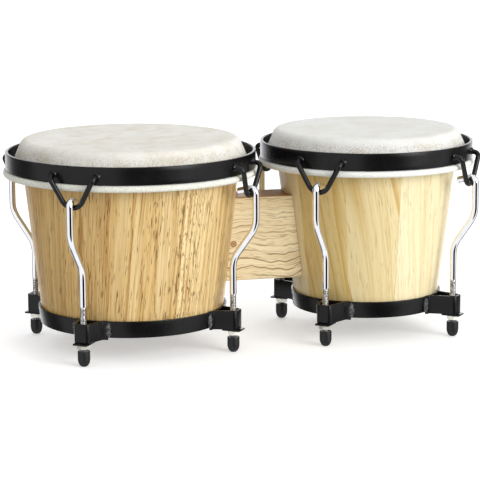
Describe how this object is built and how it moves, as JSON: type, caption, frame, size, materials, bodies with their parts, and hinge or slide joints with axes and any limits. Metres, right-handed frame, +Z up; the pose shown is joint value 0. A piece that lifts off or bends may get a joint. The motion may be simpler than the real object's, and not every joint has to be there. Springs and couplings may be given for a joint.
{
  "type": "bongo drums",
  "caption": "Joined pair of hand drums: tapered wooden shells, rawhide heads, black hoops, chrome hooked tuning rods with nuts and rubber feet, and a wooden centre block.",
  "frame": {"origin": "centre of the bounding box's footprint, in the plane of the eight rubber rod tips", "axes": "+X from the large drum to the small drum, +Y from the player's front face to the back, +Z up towards the heads"},
  "size_m": [0.4196, 0.22, 0.181],
  "materials": {
    "large_shell_wood": "clear satin varnish over vertical golden-brown grain",
    "small_shell_wood": "clear satin varnish over pale yellow jointed staves",
    "block_wood": "satin, wavy horizontal grain",
    "rawhide": "matt, mottled off-white skin",
    "black_steel": "satin black enamel",
    "black_wire": "gloss black enamel",
    "chrome": "bright chrome plate",
    "nickel": "dull nickel plate",
    "zinc_steel": "zinc plate",
    "black_rubber": "matt moulded rubber"
  },
  "bodies": {
    "root": {"centre_block": "block_wood", "large_shell": "large_shell_wood", "large_head": "rawhide", "large_foot_ring": "black_steel", "large_block_screw_lower": "zinc_steel", "large_screw_washer_lower": "zinc_steel", "large_block_screw_upper": "zinc_steel", "large_screw_washer_upper": "zinc_steel", "large_washer_plate_front_left": "black_steel", "large_washer_plate_front_right": "black_steel", "large_washer_plate_back_right": "black_steel", "large_washer_plate_back_left": "black_steel", "small_shell": "small_shell_wood", "small_head": "rawhide", "small_foot_ring": "black_steel", "small_block_screw_lower": "zinc_steel", "small_screw_washer_lower": "zinc_steel", "small_block_screw_upper": "zinc_steel", "small_screw_washer_upper": "zinc_steel", "small_washer_plate_front_left": "black_steel", "small_washer_plate_front_right": "black_steel", "small_washer_plate_back_right": "black_steel", "small_washer_plate_back_left": "black_steel"},
    "large_tension_set": {"large_counterhoop": "black_steel", "large_flesh_hoop": "zinc_steel", "large_wire_loop_front_left": "black_wire", "large_tension_rod_front_left": "chrome", "large_rubber_tip_front_left": "black_rubber", "large_wire_loop_front_right": "black_wire", "large_tension_rod_front_right": "chrome", "large_rubber_tip_front_right": "black_rubber", "large_wire_loop_back_right": "black_wire", "large_tension_rod_back_right": "chrome", "large_rubber_tip_back_right": "black_rubber", "large_wire_loop_back_left": "black_wire", "large_tension_rod_back_left": "chrome", "large_rubber_tip_back_left": "black_rubber"},
    "large_nut_front_left": {"large_nut_front_left": "nickel"},
    "large_nut_front_right": {"large_nut_front_right": "nickel"},
    "large_nut_back_right": {"large_nut_back_right": "nickel"},
    "large_nut_back_left": {"large_nut_back_left": "nickel"},
    "small_tension_set": {"small_counterhoop": "black_steel", "small_flesh_hoop": "zinc_steel", "small_wire_loop_front_left": "black_wire", "small_tension_rod_front_left": "chrome", "small_rubber_tip_front_left": "black_rubber", "small_wire_loop_front_right": "black_wire", "small_tension_rod_front_right": "chrome", "small_rubber_tip_front_right": "black_rubber", "small_wire_loop_back_right": "black_wire", "small_tension_rod_back_right": "chrome", "small_rubber_tip_back_right": "black_rubber", "small_wire_loop_back_left": "black_wire", "small_tension_rod_back_left": "chrome", "small_rubber_tip_back_left": "black_rubber"},
    "small_nut_front_left": {"small_nut_front_left": "nickel"},
    "small_nut_front_right": {"small_nut_front_right": "nickel"},
    "small_nut_back_right": {"small_nut_back_right": "nickel"},
    "small_nut_back_left": {"small_nut_back_left": "nickel"}
  },
  "joints": [
    {"name": "large_tension", "type": "slide", "parent": "root", "child": "large_tension_set", "axis": [0, 0, -1], "range_m": [-0.0014, 0.003], "deforming": ["large_head"]},
    {"name": "large_nut_front_left_turn", "type": "hinge", "parent": "root", "child": "large_nut_front_left", "pos_m": [-0.15881, -0.07445, 0.017], "axis": [0, 0, 1], "range_deg": [-510, 1090]},
    {"name": "large_nut_front_right_turn", "type": "hinge", "parent": "root", "child": "large_nut_front_right", "pos_m": [-0.02535, -0.05901, 0.017], "axis": [0, 0, 1], "range_deg": [-510, 1090]},
    {"name": "large_nut_back_right_turn", "type": "hinge", "parent": "root", "child": "large_nut_back_right", "pos_m": [-0.04079, 0.07445, 0.017], "axis": [0, 0, 1], "range_deg": [-510, 1090]},
    {"name": "large_nut_back_left_turn", "type": "hinge", "parent": "root", "child": "large_nut_back_left", "pos_m": [-0.17425, 0.05901, 0.017], "axis": [0, 0, 1], "range_deg": [-510, 1090]},
    {"name": "small_tension", "type": "slide", "parent": "root", "child": "small_tension_set", "axis": [0, 0, -1], "range_m": [-0.0014, 0.003], "deforming": ["small_head"]},
    {"name": "small_nut_front_left_turn", "type": "hinge", "parent": "root", "child": "small_nut_front_left", "pos_m": [0.05671, -0.06143, 0.017], "axis": [0, 0, 1], "range_deg": [-510, 1090]},
    {"name": "small_nut_front_right_turn", "type": "hinge", "parent": "root", "child": "small_nut_front_right", "pos_m": [0.17543, -0.05729, 0.017], "axis": [0, 0, 1], "range_deg": [-510, 1090]},
    {"name": "small_nut_back_right_turn", "type": "hinge", "parent": "root", "child": "small_nut_back_right", "pos_m": [0.17129, 0.06143, 0.017], "axis": [0, 0, 1], "range_deg": [-510, 1090]},
    {"name": "small_nut_back_left_turn", "type": "hinge", "parent": "root", "child": "small_nut_back_left", "pos_m": [0.05257, 0.05729, 0.017], "axis": [0, 0, 1], "range_deg": [-510, 1090]}
  ],
  "couplings": [
    {"joint": "large_nut_front_left_turn", "follows": "large_tension", "rad_per_m": 6283.2},
    {"joint": "large_nut_front_right_turn", "follows": "large_tension", "rad_per_m": 6283.2},
    {"joint": "large_nut_back_right_turn", "follows": "large_tension", "rad_per_m": 6283.2},
    {"joint": "large_nut_back_left_turn", "follows": "large_tension", "rad_per_m": 6283.2},
    {"joint": "small_nut_front_left_turn", "follows": "small_tension", "rad_per_m": 6283.2},
    {"joint": "small_nut_front_right_turn", "follows": "small_tension", "rad_per_m": 6283.2},
    {"joint": "small_nut_back_right_turn", "follows": "small_tension", "rad_per_m": 6283.2},
    {"joint": "small_nut_back_left_turn", "follows": "small_tension", "rad_per_m": 6283.2}
  ]
}
